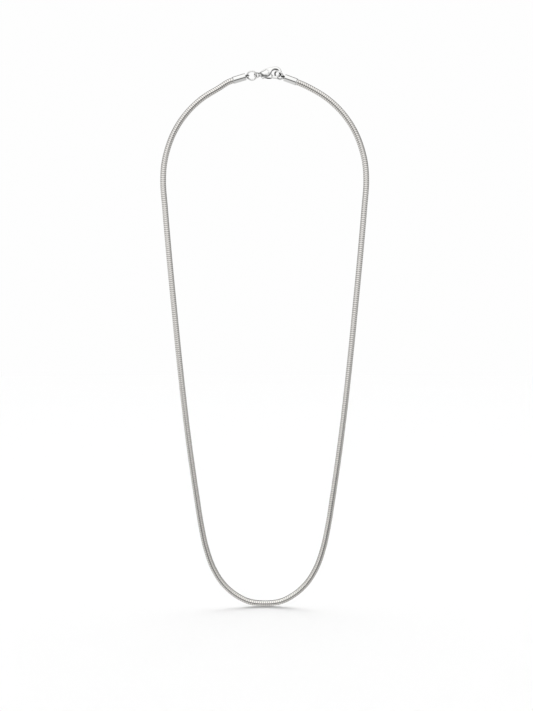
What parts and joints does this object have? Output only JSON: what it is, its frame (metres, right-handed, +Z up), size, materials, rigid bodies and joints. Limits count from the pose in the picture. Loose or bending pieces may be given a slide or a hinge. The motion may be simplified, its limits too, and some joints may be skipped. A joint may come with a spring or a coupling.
{
  "type": "snake chain necklace with a lobster clasp",
  "caption": "Round polished snake chain closed into a long loop by end caps, jump rings and a lobster clasp, standing as it hangs from the neck.",
  "frame": {"origin": "inner side of the loop's top, at the underside of the clasp, where the necklace hangs on a neck or a peg", "axes": "+X to the right of the loop as seen from the front, with the clasp's hook; +Y to the back; +Z up, against gravity"},
  "size_m": [0.1006, 0.0045, 0.2609],
  "materials": {
    "chain_steel": "polished steel plates in fine woven rows",
    "polished_steel": "mirror polished",
    "lever_steel": "polished"
  },
  "bodies": {
    "necklace": {"snake_chain": "chain_steel", "left_end_cap": "polished_steel", "right_end_cap": "polished_steel", "left_jump_ring": "polished_steel", "right_jump_ring": "polished_steel", "clasp_body": "polished_steel", "clasp_pin": "lever_steel"},
    "lever": {"clasp_lever": "lever_steel"}
  },
  "joints": [
    {"name": "lever_hinge", "type": "hinge", "parent": "necklace", "child": "lever", "pos_m": [0.0007, -0.00017, 0.00182], "axis": [0, -0.9272, 0.3746], "range_deg": [0, 18], "stiffness_Nm_per_rad": 0.002, "springref_deg": -5.73}
  ]
}
